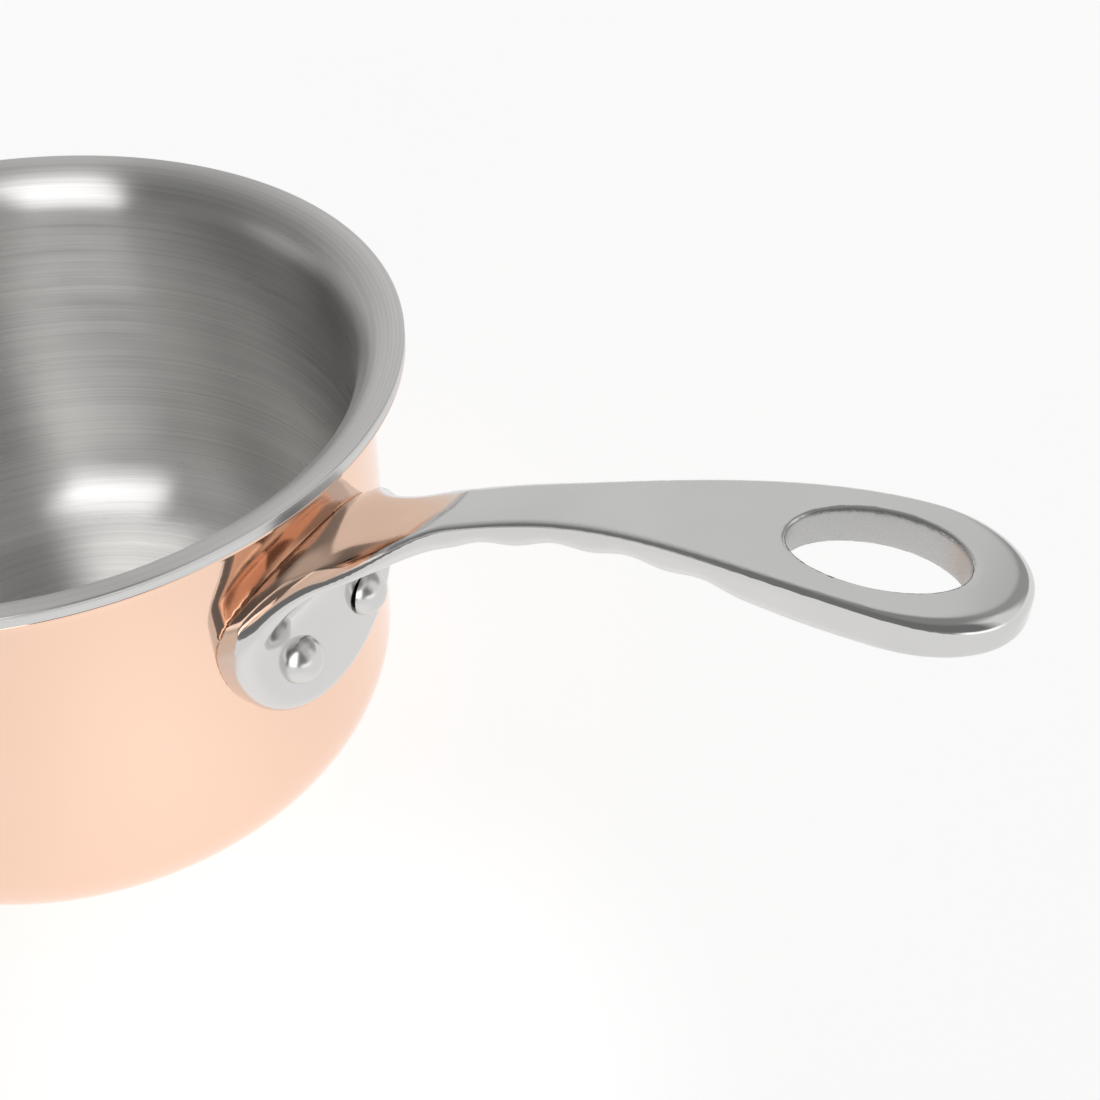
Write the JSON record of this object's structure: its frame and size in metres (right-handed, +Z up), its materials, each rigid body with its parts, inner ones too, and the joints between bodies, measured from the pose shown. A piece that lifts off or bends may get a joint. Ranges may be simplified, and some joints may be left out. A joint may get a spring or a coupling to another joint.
{
  "type": "saucepan",
  "caption": "Round copper saucepan with a flared rim, a stainless steel lining and a riveted cast handle that rises to a hanging hole.",
  "frame": {"origin": "centre of the pan's flat base, on its underside", "axes": "+Z up along the pan's axis, +X along the handle, +Y to the left seen from the pan looking along the handle"},
  "size_m": [0.2481, 0.14, 0.1065],
  "materials": {
    "copper": "polished copper",
    "aluminium": "cut edge",
    "brushed_stainless": "brushed around the pan's axis",
    "cast_stainless": "satin, tumbled casting",
    "rivet_steel": "polished"
  },
  "bodies": {
    "root": {"copper_shell": "copper", "aluminium_core": "aluminium", "steel_liner": "brushed_stainless", "handle": "cast_stainless", "rivet_left": "rivet_steel", "rivet_right": "rivet_steel"}
  },
  "joints": []
}
